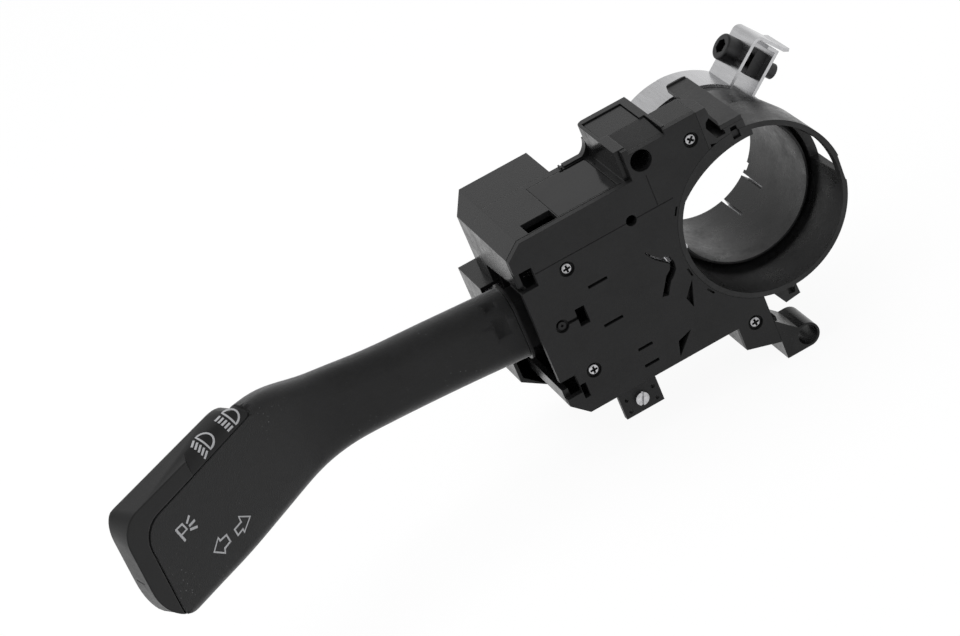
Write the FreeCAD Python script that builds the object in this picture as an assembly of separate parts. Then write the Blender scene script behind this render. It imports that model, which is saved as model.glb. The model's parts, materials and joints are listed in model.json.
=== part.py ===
import FreeCAD, Part
import math
import os

# Combination stalk switch for a steering column: a moulded housing with a collar that clamps
# on the column tube, and a turn signal stalk with a flat paddle on its left.
# Frame while modelling: X to the right, Y away from the driver, Z up. The collar's axis is
# x = 0, z = 0 and the front cover's face is y = 0. The exported frame's origin is on that
# axis at the sleeve's rear mouth. Millimetres.

V = FreeCAD.Vector
UP = V(0, 0, 1)
BACK = V(0, 1, 0)
RIGHT = V(1, 0, 0)

# Fits and gaps
SEAT_GAP = 0.1          # between moulded pieces of one body that stand side by side
RUN_GAP = 0.05          # radial running fit of a pin in its bore
SLIDE_GAP = 0.3         # between sliding or swinging pieces and what they pass

# Collar: front cup, step and clamping sleeve
SLEEVE_BORE_R = 26.5
SLEEVE_WALL = 2.9
SLEEVE_R = SLEEVE_BORE_R + SLEEVE_WALL
SLEEVE_BACK = 66.5
CUP_STEP = 2.7          # how far the cup's floor is wider than the sleeve's bore
CUP_WALL = 3.2
CUP_BORE_R = SLEEVE_BORE_R + CUP_STEP
CUP_R = CUP_BORE_R + CUP_WALL
MOUTH_WALL = 1.9        # the cup's bore opens towards its mouth and leaves this wall
CUP_DEPTH = 20.5
GROOVE_WALL = 0.8       # lip of the sleeve that the groove behind the cup leaves
GROOVE_DEPTH = 6.5
TAPER_START = 22.0
TAPER_END = 43.0
TAPER_R = SLEEVE_R + 0.8
SLOT_W = 1.1
SLOT_START = 50.0
SLOT_ANGLES = (-75.0, -49.0, 105.0, 131.0)
LIP_R = 42.0            # flat curve of the lip over the cup's upper left
LIP_DROP = 4.4

# Front housing and its cover
COVER_T = 2.5
WALL = 2.2
BODY_LEFT = -90.0
BODY_TOP = 34.5
BODY_BOTTOM = -36.8
BODY_BACK = 36.0
CORNER = 6.0
SEAM_W = 0.35           # shadow groove behind the cover's edge
SEAM_DEPTH = 0.45
RING_EDGE = -(CUP_R + 1.6)      # right edge of the switch room, left of the collar
BLOCK_LEFT = RING_EDGE - 7.4    # tall block over the collar's left shoulder
BLOCK_RIGHT = BLOCK_LEFT + 19.9
BLOCK_TOP = CUP_R + 13.6
LABEL_LEFT = -67.0
LID_X = (BLOCK_LEFT + 1.5, BLOCK_RIGHT - 3.4)
LID_Y = (16.5, 33.0)
LID_DEPTH = 1.4
LID_SUNK = 0.5
RAMP_X = (BLOCK_LEFT + 4.1, BLOCK_RIGHT - 1.5)
RAMP_DROP = 2.2
SHOULDER_RIGHT = -10.4
SHOULDER_BACK = 16.0
FOOT_LEFT = -23.9
FOOT_RIGHT = -11.1
FOOT_LOW = -(CUP_R + 17.8)
FOOT_BACK = 17.0

# Rear housing behind the left half with the plug socket, and the chamber on its flank
REAR_BACK = 57.5
REAR_RIGHT = -56.4
CHAMBER_LEFT = -95.4
CHAMBER_RIGHT = -86.0
CHAMBER_TOP = 7.3
CHAMBER_LOW = -33.7
CHAMBER_SLOPE = 6.6     # how much lower its floor is at the housing's side
CHAMBER_WALL = 1.3
SOCKET_X = (-82.0, -60.4)
SOCKET_Z = (-20.0, 2.0)
SOCKET_DEPTH = 11.0
BLADE_COUNT = 5
TIP_COUNT = 5

# Clip bracket on the collar's shoulder and the tongue over it
BRACKET_RIGHT = 4.6
BRACKET_LEAN = -6.6
TONGUE_X = (-4.0, 4.4)
TONGUE_LEN = 45.4
TONGUE_Z = CUP_R + 2.9
TONGUE_T = 1.6

# Clamp band with its two ears
BAND_T = 1.2
BAND_FRONT = 48.5
BAND_BACK = 66.0
BAND_SHORT = 5.0        # how much the far side's rear edge stands back
EAR_ANGLE = 37.5
EAR_SHIFT = -1.3        # the ears' mid plane passes the collar's axis at this distance
EAR_HALF = 4.4          # from the ears' mid plane to each ear's inner face
EAR_BEND = 3.0          # outer radius of the bend from the left ear into its top
SCREW_R = 3.0
SCREW_HEAD_R = 5.0
SCREW_HEAD_H = 6.0
SCREW_LEN = 18.0
HEX_ACROSS = 5.0
NUT_SIDE = 10.0
NUT_T = 4.6
NUT_RISE = 4.8          # from the band to the nut
FOLD_RISE = 1.8         # from the nut to the right ear's fold
STRAP_DROP = 1.8        # from the strap's top to the fold under it
SCREW_REACH = SLEEVE_R + BAND_T + NUT_RISE + NUT_SIDE / 2    # screw's axis to collar's axis
EAR_REACH = SCREW_REACH + NUT_SIDE / 2 + FOLD_RISE + BAND_T + STRAP_DROP

# Lever hinge (turn signals, about Y) and tilt hinge (dip and flash, about Z)
PIVOT_X = -81.4
PIVOT_Z = -1.5
PIVOT_R = 1.5
TILT_Y = 20.0
TILT_R = 1.5
YOKE_HALF_Y = 11.0
YOKE_HALF_Z = 13.5
YOKE_WALL = 2.5
YOKE_FRONT_X = -85.5
YOKE_REAR_X = -76.0
HEAD_HALF_Y = 7.0
HEAD_LEFT = 5.6
HEAD_RIGHT = 5.9
NECK_HALF_Y = 6.0
TAIL_X = -67.5
FINGER_Z = 7.3          # height of the dip finger over the pivot
BARREL_END = -71.0

# Detent between lever and housing
PLUNGER_R = 2.05
PLUNGER_END = -73.8
PLUNGER_TIP = -62.4
SPRING_SEAT_X = -79.4

# Stalk: arm, then a paddle that turns towards the driver
ARM_START = -92.8
ARM_THICK = 17.0
ELBOW_X = -168.6
PADDLE_BEND = 31.0
PADDLE_LEN = 93.0
PADDLE_THICK = 11.0
PADDLE_TOP = 30.5
PADDLE_LOW = -14.2
CAP_BORDER = 5.4
CAP_START = 28.0
CAP_GAP = 0.3
CORE_END = -150.0
ELBOW_R = 55.0
STALK_STEPS = 18
# Distance from the root, top, low, thickness, front top corner radius, other corners' radius
STATIONS = ((0.0, 12.2, -15.3, 17.0, 8.0, 7.8), (28.0, 14.3, -13.0, 16.4, 7.8, 7.5),
            (54.0, 16.4, -11.6, 15.2, 7.2, 6.9), (74.0, 20.4, -11.4, 13.0, 6.0, 5.9),
            (92.0, 27.6, -12.1, 11.4, 4.8, 5.1), (108.0, 30.1, -13.2, 11.0, 3.6, 4.9),
            (126.0, 30.5, -14.2, 11.0, 2.4, 4.8), (140.0, 30.5, -14.2, 11.0, 1.2, 4.6),
            (180.0, 30.5, -14.2, 11.0, 1.2, 4.6))
FACET_Z = 24.8          # lower edge of the sloped face that carries the lamp signs
FACET_TILT = 43.0
FACET_END = 57.5

# Screws and holes of the cover
SCREW_SPOTS = ((-72.2, 17.1), (-77.2, -22.7), (-15.2, CUP_R + 5.1), (-17.4, -(CUP_R + 5.6)))
COVER_SCREW_R = 2.05
COVER_SCREW_POCKET_R = 2.8
COVER_SCREW_THREAD_R = 1.0
PEG_HOLE = (BLOCK_LEFT + 7.4, BLOCK_TOP - 6.2)
PEG_HOLE_R = 4.0
PEG_HOLE_DEPTH = 14.0
DATUM_HOLE = (RING_EDGE - 11.0, 21.4)
DATUM_HOLE_R = 2.0

# Fastening points below
TAB_X = (-73.0, -57.9)
TAB_Z = (-47.4, -36.0)
TAB_T = 2.4
TAB_SCREW = (-65.4, -42.2)
TAB_SCREW_R = 2.5
LUG_CENTRE = (-1.2, FOOT_LOW - 2.7)
LUG_R = 4.6
LUG_BORE_R = 3.75
LUG_BACK = 16.0

# Cancelling pawl beside the cup
PAWL_X = RING_EDGE - 8.0
PAWL_Z = -1.5
PAWL_PIN_R = 1.2
PAWL_HUB_R = 3.6
PAWL_TIP_X = PAWL_X + 14.0
PAWL_FRONT = 7.0
PAWL_BACK = 15.8
PAWL_WINDOW = 7.6

# Plate of fixed contacts in the housing's floor
PLATE_X = (-72.0, PAWL_X - 4.5)
PLATE_Z = (-16.0, 8.6)
PLATE_T = 1.2

FLOOR_Y = BODY_BACK - WALL


# Basic shapes
def box(x0, x1, y0, y1, z0, z1):
    return Part.makeBox(x1 - x0, y1 - y0, z1 - z0, V(x0, y0, z0))


def rod_y(x, z, r, y0, y1):
    return Part.makeCylinder(r, y1 - y0, V(x, y0, z), BACK)


def rod_z(x, y, r, z0, z1):
    return Part.makeCylinder(r, z1 - z0, V(x, y, z0), UP)


def rod_x(y, z, r, x0, x1):
    return Part.makeCylinder(r, x1 - x0, V(x0, y, z), RIGHT)


def prism_y(points, y0, y1):
    corners = [V(x, y0, z) for x, z in points]
    face = Part.Face(Part.makePolygon(corners + corners[:1]))
    return face.extrude(V(0, y1 - y0, 0))


def prism_z(points, z0, z1):
    corners = [V(x, y, z0) for x, y in points]
    face = Part.Face(Part.makePolygon(corners + corners[:1]))
    return face.extrude(V(0, 0, z1 - z0))


def prism_x(points, x0, x1):
    corners = [V(x0, y, z) for y, z in points]
    face = Part.Face(Part.makePolygon(corners + corners[:1]))
    return face.extrude(V(x1 - x0, 0, 0))


def joined(first, *others):
    return first.fuse(list(others)).removeSplitter()


def carved(shape, *tools):
    return shape.cut(list(tools)).removeSplitter()


def rounded(shape, radius, wanted):
    edges = [edge for edge in shape.Edges if wanted(edge)]
    return shape.makeFillet(radius, edges)


def turned_about_collar(shape, angle):
    shape.rotate(V(0, 0, 0), BACK, -angle)
    return shape


def runs_along(edge, direction):
    if not isinstance(edge.Curve, Part.Line):
        return False
    return abs(edge.tangentAt(edge.FirstParameter).dot(direction)) > 0.999


# Outlines of the housing in the cover's plane
def room_outline(inset):
    left = BODY_LEFT + inset
    low = BODY_BOTTOM + inset
    top = BODY_TOP - inset
    cut = CORNER - 0.4 * inset
    right = RING_EDGE - inset
    return [(left, low + cut), (left + cut, low), (right, low), (right, top),
            (left + cut, top), (left, top - 0.8 * cut)]


def collar_room(front, back):
    return rod_y(0, 0, CUP_R + SEAT_GAP, front, back)


def foot_outline():
    return [(FOOT_LEFT, -28.0), (FOOT_LEFT, FOOT_LOW + 4.0), (FOOT_RIGHT, FOOT_LOW),
            (FOOT_RIGHT, -28.0)]


def from_ring_edge(outline):
    return [(RING_EDGE + x, z) for x, z in outline]


# Slot of the pawl's spring in the cover, measured from the room's right edge
HOOK = ((-10.8, 8.1), (-9.1, 5.8), (-7.5, 4.0), (-6.2, 2.8), (-4.7, 2.8), (-3.1, 1.8),
        (-2.4, -0.6), (-2.7, -3.4), (-4.2, -5.4), (-5.9, -6.7), (-7.3, -8.8), (-8.6, -11.3),
        (-11.1, -10.7), (-9.1, -7.6), (-7.0, -4.2), (-4.9, -2.5), (-4.1, -0.6), (-6.4, 1.4),
        (-8.5, 3.4), (-10.9, 7.2))


# Front cover: the plate that faces the driver
def cover_blank():
    plate = prism_y(room_outline(0.0), 0, COVER_T)
    step = box(BLOCK_LEFT + 2, SHOULDER_RIGHT, 0, COVER_T, 20, BLOCK_TOP - 0.2)
    web = box(RING_EDGE - 1, SHOULDER_RIGHT - 0.7, 0, COVER_T, BODY_BOTTOM, 21)
    foot = prism_y(foot_outline(), 0, COVER_T)
    return carved(joined(plate, step, web, foot), collar_room(-1, COVER_T + 1), ramp_room())


def ramp_room():
    # The tall block's top falls away to the front beside its lid
    side = [(-1, BLOCK_TOP - RAMP_DROP), (LID_Y[0], BLOCK_TOP - LID_SUNK),
            (LID_Y[0], BLOCK_TOP + 2), (-1, BLOCK_TOP + 2)]
    groove = box(RAMP_X[1] - 0.1, RAMP_X[1] + 0.4, 1.0, LID_Y[0], BLOCK_TOP - RAMP_DROP - 0.6,
                 BLOCK_TOP + 1)
    return prism_x(side, *RAMP_X).fuse(groove)


def slit(x0, x1, z, height=1.1):
    return box(x0, x1, -1, COVER_T + 1, z - height / 2, z + height / 2)


def cover_openings():
    cuts = [slit(-67.9, -60.4, z) for z in (6.8, -9.5)]
    cuts += [slit(-60.1, -54.4, z) for z in (-24.5, -31.5)]
    cuts.append(rod_y(PIVOT_X, PIVOT_Z, 2.5, -1, 1.6))
    cuts.append(box(PIVOT_X + 2, -74.5, -1, 1.6, PIVOT_Z - 0.6, PIVOT_Z + 0.6))
    cuts.append(box(-75.4, -71.7, -1, COVER_T + 1, -5.2, 1.8))
    cuts.append(prism_y(from_ring_edge(HOOK), -1, COVER_T + 1))
    for triangle in (((1.1, -10.2), (-3.3, -15.7), (-1.9, -20.2)),
                     ((-5.9, -27.4), (-11.6, -29.2), (-13.1, -35.2))):
        cuts.append(prism_y(from_ring_edge(triangle), -1, COVER_T + 1))
    for angle in (151.0, 212.5, 192.8):
        nick = box(CUP_R + 0.7, CUP_R + 1.4, -1, 1.2, -1.7, 1.7)
        cuts.append(turned_about_collar(nick, angle))
    cuts.append(box(BODY_LEFT - 1, -83.4, -1, COVER_T + 1, 16.8, 24.4))
    cuts.append(box(BODY_LEFT - 1, -84.0, -1, COVER_T + 1, -28.2, -20.7))
    cuts.append(box(-83.9, -81.7, -1, COVER_T + 1, -31.0, -25.2))
    cuts.append(rod_y(PEG_HOLE[0], PEG_HOLE[1], PEG_HOLE_R, -1, COVER_T + 1))
    cuts.append(rod_y(DATUM_HOLE[0], DATUM_HOLE[1], DATUM_HOLE_R, -1, COVER_T + 1))
    return cuts


def screw_pockets():
    cuts = []
    for x, z in SCREW_SPOTS:
        cuts.append(rod_y(x, z, COVER_SCREW_POCKET_R, -1, 1.5))
        cuts.append(rod_y(x, z, COVER_SCREW_THREAD_R + SLIDE_GAP, 1, COVER_T + 1))
    return cuts


def front_cover():
    plate = carved(cover_blank(), *cover_openings(), *screw_pockets())
    bearing = rod_y(PIVOT_X, PIVOT_Z, 4.0, COVER_T - 0.5, 7.0)
    bearing = bearing.cut(box(-78.5, -70, 0, 8, -8, 4))
    plate = joined(plate, bearing)
    bore = rod_y(PIVOT_X, PIVOT_Z, PIVOT_R + RUN_GAP, -1, 8)
    groove = box(BODY_LEFT + 7.0, RING_EDGE + 5.4, -1, 0.25, 21.2, 21.6)
    groove_up = box(RING_EDGE - 0.6, RING_EDGE - 0.2, -1, 0.25, 21.2, BODY_TOP - 0.5)
    return carved(plate, bore, groove, groove_up)


# Housing base: the open box behind the cover, with the collar's shoulder and the lug
def lug_outline():
    cx, cz = LUG_CENTRE
    return [(FOOT_RIGHT + SEAT_GAP, cz - LUG_R), (cx, cz - LUG_R), (cx, cz + LUG_R),
            (cx - 2.6, cz + LUG_R), (FOOT_RIGHT + SEAT_GAP, FOOT_LOW + 9.0)]


def lug():
    cx, cz = LUG_CENTRE
    root = box(FOOT_RIGHT - 4, FOOT_RIGHT + 2, COVER_T, LUG_BACK, FOOT_LOW + 1.5, FOOT_LOW + 9.0)
    body = joined(prism_y(lug_outline(), 0, LUG_BACK), rod_y(cx, cz, LUG_R, 0, LUG_BACK), root)
    return body.cut(rod_y(cx, cz, LUG_BORE_R, -1, LUG_BACK + 1))


def housing_shell():
    room = prism_y(room_outline(0.0), COVER_T, BODY_BACK)
    block = box(BLOCK_LEFT, BLOCK_RIGHT, COVER_T, BODY_BACK, 10, BLOCK_TOP)
    block = rounded(block, 3.0, lambda e: runs_along(e, UP) and e.CenterOfMass.y > 20
                    and e.CenterOfMass.x < BLOCK_LEFT + 1)
    shoulder = box(RING_EDGE, SHOULDER_RIGHT, COVER_T, SHOULDER_BACK, 20, BLOCK_TOP - 0.2)
    under = box(RING_EDGE - 1, -25.0, COVER_T, BODY_BACK, BODY_BOTTOM, -6)
    toe = box(-26, FOOT_RIGHT, COVER_T, FOOT_BACK, BODY_BOTTOM, -25)
    foot = prism_y(foot_outline(), COVER_T, FOOT_BACK)
    shell = joined(room, block, shoulder, under, toe, foot)
    hollow = prism_y(room_outline(WALL), COVER_T - 1, FLOOR_Y)
    return carved(shell, hollow, collar_room(0, BODY_BACK + 1))


def back_rim():
    # Raised rim behind the label, swept up to the tall block at its end
    r = 6.0
    y0, y1 = BODY_BACK - 3.4, BODY_BACK - 0.4
    corner = box(BLOCK_LEFT - r, BLOCK_LEFT + 0.5, y0, y1, BODY_TOP, BODY_TOP + r)
    corner = corner.cut(rod_y(BLOCK_LEFT - r, BODY_TOP + r, r, y0 - 1, y1 + 1))
    rim = box(BLOCK_LEFT - 11.6, BLOCK_LEFT, y0, y1, BODY_TOP - 1.0, BODY_TOP + 0.8)
    notch = box(BLOCK_LEFT - 11.0, BLOCK_LEFT - 10.2, y0 - 1, y1 + 1, BODY_TOP, BODY_TOP + 2)
    return joined(corner, rim).cut(notch)


def cover_seam():
    # Shadow groove between the cover's edge and the housing, left of the collar
    back = COVER_T + SEAM_W
    band = prism_y(room_outline(-1.0), COVER_T, back).cut(prism_y(room_outline(SEAM_DEPTH), 0, 9))
    return band.common(box(BODY_LEFT - 3, BLOCK_LEFT - 1, 0, 9, BODY_BOTTOM - 3, BODY_TOP + 3))


def lever_opening():
    side = [(COVER_T - 1, -25.2), (BODY_BACK + 1, -25.2), (BODY_BACK + 1, 14.6),
            (COVER_T - 1, 18.0)]
    return prism_x(side, BODY_LEFT - 1, BODY_LEFT + WALL + 0.2)


def floor_posts():
    posts = [rod_y(PIVOT_X, PIVOT_Z, 4.0, TILT_Y + YOKE_HALF_Y + SLIDE_GAP, FLOOR_Y + 0.5)]
    posts.append(rod_y(PAWL_X, PAWL_Z, 3.0, PAWL_BACK + 0.2, FLOOR_Y + 0.5))
    for x, z in SCREW_SPOTS[:2]:
        posts.append(rod_y(x, z, 2.4, COVER_T, FLOOR_Y + 0.5))
    return posts


def dip_rails():
    rails = []
    for x in (-72.4, -66.1):
        rails.append(box(x, x + 1.5, 10.0, FLOOR_Y + 0.5, 10.2, 16.6))
    return rails


def housing_base():
    shell = joined(housing_shell(), back_rim(), lug(), *floor_posts(), *dip_rails())
    cuts = [lever_opening()]
    cuts.append(rod_y(PIVOT_X, PIVOT_Z, PIVOT_R + RUN_GAP, 30, BODY_BACK - 0.8))
    cuts.append(rod_y(PAWL_X, PAWL_Z, PAWL_PIN_R, 14, 24))
    cuts.append(pawl_window())
    cuts.append(box(PLATE_X[0] - SEAT_GAP, PLATE_X[1] + SEAT_GAP, FLOOR_Y - 0.5, FLOOR_Y + PLATE_T,
                    PLATE_Z[0] - SEAT_GAP, PLATE_Z[1] + SEAT_GAP))
    for x, z in SCREW_SPOTS:
        cuts.append(rod_y(x, z, COVER_SCREW_THREAD_R, COVER_T - 1, 13))
    cuts.append(rod_y(PEG_HOLE[0], PEG_HOLE[1], PEG_HOLE_R, 0, PEG_HOLE_DEPTH))
    # Dark notch and label recess in the top wall
    cuts.append(box(-79.0, -67.5, 3.2, 11.0, BODY_TOP - WALL - 1, BODY_TOP + 1))
    cuts.append(box(LABEL_LEFT - 0.2, BLOCK_LEFT - 2.6, 3.4, BODY_BACK - 3.5, BODY_TOP - 1.0,
                    BODY_TOP + 1))
    cuts += [lid_room(0.3), ramp_room(), cover_seam()]
    return carved(shell, *cuts)


def pawl_window():
    return box(RING_EDGE - WALL - 1, PAWL_TIP_X + 8, 5, 17, PAWL_Z - PAWL_WINDOW,
               PAWL_Z + PAWL_WINDOW)


def lid_room(gap):
    # Room of the tall block's lid, wider than the lid by a gap on each side
    return box(LID_X[0] - gap, LID_X[1] + gap, LID_Y[0], LID_Y[1] + gap - 0.3,
               BLOCK_TOP - LID_DEPTH, BLOCK_TOP + 1)


# Small plates set into the top
def label_panel():
    plate = box(LABEL_LEFT, BLOCK_LEFT - 2.8, 3.6, BODY_BACK - 3.7, BODY_TOP - 1.0, BODY_TOP)
    return plate.cut(box(BLOCK_LEFT - 12.6, BLOCK_LEFT, BODY_BACK - 4.7, BODY_BACK, BODY_TOP - 2,
                         BODY_TOP + 1))


def block_lid():
    plate = box(LID_X[0], LID_X[1], LID_Y[0] + 0.1, LID_Y[1] - 0.4, BLOCK_TOP - LID_DEPTH,
                BLOCK_TOP - LID_SUNK)
    return rounded(plate, 1.4, lambda e: runs_along(e, UP) and e.CenterOfMass.y > LID_Y[0] + 2
                   and e.CenterOfMass.x < LID_X[0] + 1)


# Rear housing: the deep box behind the left half, stepped back beside the side chamber
def rear_outline(inset):
    left = BODY_LEFT + inset
    low = BODY_BOTTOM + inset
    top = BODY_TOP - inset
    right = REAR_RIGHT - inset
    cut = CORNER - 0.4 * inset
    step = CHAMBER_RIGHT + SEAT_GAP + inset
    ledge = CHAMBER_TOP + SEAT_GAP + inset
    return [(left, ledge), (step, ledge), (step, low), (right, low), (right, top),
            (left + cut, top), (left, top - 0.8 * cut)]


def socket_room(front, back):
    return box(SOCKET_X[0], SOCKET_X[1], front, back, SOCKET_Z[0], SOCKET_Z[1])


def rear_housing():
    shell = prism_y(rear_outline(0.0), BODY_BACK, REAR_BACK)
    board = REAR_BACK - SOCKET_DEPTH
    hollow = prism_y(rear_outline(WALL), BODY_BACK + 2.0, board - WALL)
    bevel = prism_z([(BODY_LEFT - 1, 48.0), (-83.0, REAR_BACK + 1), (BODY_LEFT - 1, REAR_BACK + 1)],
                    CHAMBER_TOP, BODY_TOP + 1)
    key = box(SOCKET_X[0] + 8.0, SOCKET_X[0] + 11.0, board + 3, REAR_BACK + 1, SOCKET_Z[1] - 1,
              SOCKET_Z[1] + 1.6)
    return carved(shell, hollow, bevel, socket_room(board, REAR_BACK + 1), key)


def connector_blades():
    board = REAR_BACK - SOCKET_DEPTH
    blades = []
    pitch = (SOCKET_X[1] - SOCKET_X[0]) / BLADE_COUNT
    for row in (SOCKET_Z[0] + 4.0, SOCKET_Z[1] - 4.0):
        for k in range(BLADE_COUNT):
            x = SOCKET_X[0] + pitch * (k + 0.5)
            blades.append(box(x - 1.2, x + 1.2, board, REAR_BACK - 2.5, row - 0.4, row + 0.4))
    return Part.makeCompound(blades)


# Side chamber on the left flank, open to the front, with its contact tips
def chamber_outline(inset):
    left, right = CHAMBER_LEFT + inset, CHAMBER_RIGHT - inset
    low = CHAMBER_LOW + inset
    return [(left, CHAMBER_TOP - inset), (left, low), (right, low - CHAMBER_SLOPE),
            (right, CHAMBER_TOP - inset)]


def side_chamber():
    back = REAR_BACK + 0.4
    shell = prism_y(chamber_outline(0.0), BODY_BACK + SEAT_GAP, back)
    hollow = prism_y(chamber_outline(CHAMBER_WALL), BODY_BACK - 1, back - CHAMBER_WALL)
    return carved(shell, hollow)


def side_contacts():
    tips = []
    roof = CHAMBER_TOP - CHAMBER_WALL
    first = CHAMBER_LEFT + CHAMBER_WALL + 0.3
    pitch = (CHAMBER_RIGHT - CHAMBER_WALL - 0.3 - first) / TIP_COUNT
    for k in range(TIP_COUNT):
        x = first + pitch * k
        tips.append(box(x, x + pitch - 0.5, BODY_BACK + 0.3, REAR_BACK + 0.4 - CHAMBER_WALL,
                        roof - 2.0, roof - 0.5))
    return Part.makeCompound(tips)


# Collar: cup, step, tapered back and slotted sleeve
def collar_profile():
    groove_back = CUP_DEPTH + GROOVE_DEPTH
    corners = [(CUP_R - MOUTH_WALL, 0), (CUP_R, 0), (CUP_R, TAPER_START), (TAPER_R, TAPER_END),
               (SLEEVE_R, TAPER_END), (SLEEVE_R, SLEEVE_BACK), (SLEEVE_BORE_R, SLEEVE_BACK),
               (SLEEVE_BORE_R, CUP_DEPTH), (SLEEVE_BORE_R + GROOVE_WALL, CUP_DEPTH),
               (SLEEVE_BORE_R + GROOVE_WALL, groove_back), (CUP_BORE_R - 0.4, groove_back),
               (CUP_BORE_R, CUP_DEPTH)]
    points = [V(r, y, 0) for r, y in corners]
    face = Part.Face(Part.makePolygon(points + points[:1]))
    return face.revolve(V(0, 0, 0), BACK, 360)


def sleeve_slot(angle):
    cut = box(SLEEVE_BORE_R - 2, SLEEVE_R + 2, SLOT_START, SLEEVE_BACK + 1, -SLOT_W / 2, SLOT_W / 2)
    return turned_about_collar(cut, angle)


def wall_window(a0, a1, y0, y1):
    reach = CUP_R + 8
    points = [V(0, y0, 0)]
    for k in range(5):
        a = math.radians(a0 + (a1 - a0) * k / 4)
        points.append(V(reach * math.cos(a), y0, reach * math.sin(a)))
    face = Part.Face(Part.makePolygon(points + points[:1]))
    return face.extrude(V(0, y1 - y0, 0)).cut(rod_y(0, 0, CUP_BORE_R - 1.5, y0 - 1, y1 + 1))


def cup_lip():
    # Lip over the cup's upper left, bounded by a flatter curve than the cup's own
    disc = rod_y(0, 0, CUP_R - MOUTH_WALL / 2, 0, COVER_T)
    flat = rod_y(2.8, CUP_R - LIP_DROP - LIP_R, LIP_R, -1, COVER_T + 1)
    return disc.cut([flat, box(6.2, CUP_R, -1, COVER_T + 1, -CUP_R, CUP_R),
                     box(-CUP_R, CUP_R, -1, COVER_T + 1, -CUP_R, 4.0)])


def column_collar():
    ring = joined(collar_profile(), cup_lip())
    cuts = [sleeve_slot(a) for a in SLOT_ANGLES]
    cuts.append(wall_window(-4.0, 27.0, 3.2, CUP_DEPTH))
    cuts.append(pawl_window())
    cuts.append(box(-1.0, 2.0, -1, 2.8, CUP_R - MOUTH_WALL - 1.0, CUP_R + 1))
    cuts.append(turned_about_collar(box(CUP_R - 0.7, CUP_R + 2, -1, 6, -5, 5), -1.0))
    cuts.append(turned_about_collar(box(SLEEVE_BORE_R - 2, SLEEVE_R + 2, SLEEVE_BACK - 1.6,
                                        SLEEVE_BACK + 1, -1.5, 1.5), -42.0))
    return carved(ring, *cuts)


# Bracket on the collar's shoulder that carries the tongue, with two dark pockets in its front
def bracket_outline():
    seat = TONGUE_Z - SEAT_GAP
    left = SHOULDER_RIGHT + SEAT_GAP
    return [(left, CUP_R - 6.0), (left, BLOCK_TOP - 0.3), (BRACKET_LEAN, BLOCK_TOP - 0.3),
            (BRACKET_LEAN + 0.6, BLOCK_TOP - 3.7), (TONGUE_X[0] - 0.2, seat + 3.6),
            (TONGUE_X[0] - 0.2, seat), (BRACKET_RIGHT, seat), (BRACKET_RIGHT, CUP_R - 6.0)]


def clip_bracket():
    base = CUP_R
    block = prism_y(bracket_outline(), 0, SHOULDER_BACK)
    back = prism_z([(BRACKET_LEAN - 3.8, SHOULDER_BACK + 1), (TONGUE_X[0] - 0.2, SHOULDER_BACK + 1),
                    (TONGUE_X[0] - 0.2, 5.0), (BRACKET_LEAN + 0.4, 8.0)], TONGUE_Z + 1.5, BLOCK_TOP)
    pentagon = prism_y([(-6.6, base + 9.2), (-8.2, base + 8.1), (-8.8, base + 6.1),
                        (-6.3, base + 0.9), (-2.9, base + 0.9), (-2.9, base + 2.0),
                        (-5.3, base + 6.6)], -1, 9)
    slot = prism_y([(-0.9, base + 1.9), (1.4, base + 1.9), (1.9, base - 1), (-1.1, base - 1)], -1, 9)
    relief = prism_y([(-9.3, base), (-4.3, base - 1.6), (-9.5, base - 3.6)], -1, 3)
    return carved(block, collar_room(-1, 40), back, pentagon, slot, relief)


def spring_clip():
    # Straight tongue that snaps over the column's edge, with a raised lip at its free end
    top = TONGUE_Z + TONGUE_T
    plate = box(TONGUE_X[0], TONGUE_X[1], 0.0, TONGUE_LEN, TONGUE_Z, top)
    plate = rounded(plate, 2.0, lambda e: runs_along(e, UP) and e.CenterOfMass.y > 20)
    lip = box(TONGUE_X[0], TONGUE_X[1], TONGUE_LEN - 1.0, TONGUE_LEN, top - 0.2, top + 0.5)
    return joined(plate, lip.common(plate.translated(V(0, 0, 0.6))))


# Latch loop under the collar
def latch_loop():
    low = -CUP_R
    side = [(-7.0, low + 3.0), (-6.4, low - 1.2), (-3.2, low - 7.0), (2.9, low - 6.3),
            (2.6, low - 1.3), (2.6, low + 3.0)]
    window = [(-1.2, low - 1.6), (2.0, low - 1.8), (1.3, low - 4.9), (-1.1, low - 4.7)]
    return carved(prism_y(side, 4.0, 9.0), collar_room(0, 12), prism_y(window, 0, 12))


# Fastening tab under the housing, with its slotted screw
def mounting_tab():
    plate = box(TAB_X[0], TAB_X[1], 1.0, 1.0 + TAB_T, TAB_Z[0], BODY_BOTTOM - SEAT_GAP)
    stem = box(TAB_X[0] + 1, TAB_X[1] - 1, 1.0 + TAB_T, 9.0, BODY_BOTTOM - 3.0, BODY_BOTTOM - SEAT_GAP)
    holes = [rod_y(x, z, 0.75, 0, 6) for x in (TAB_X[0] + 2.3, TAB_X[1] - 2.2)
             for z in (-40.5, -45.4)]
    return carved(joined(plate, stem), *holes, rod_y(TAB_SCREW[0], TAB_SCREW[1], 1.6, 0, 12))


def tab_screw():
    x, z = TAB_SCREW
    head = rod_y(x, z, TAB_SCREW_R, -0.4, 1.0)
    shank = rod_y(x, z, 1.6 - RUN_GAP, 1.0, 8.0)
    slot = box(x - 0.4, x + 0.4, -1, 0.3, z - 3, z + 3)
    slot.rotate(V(x, 0, z), BACK, 20)
    return carved(joined(head, shank), slot)


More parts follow.
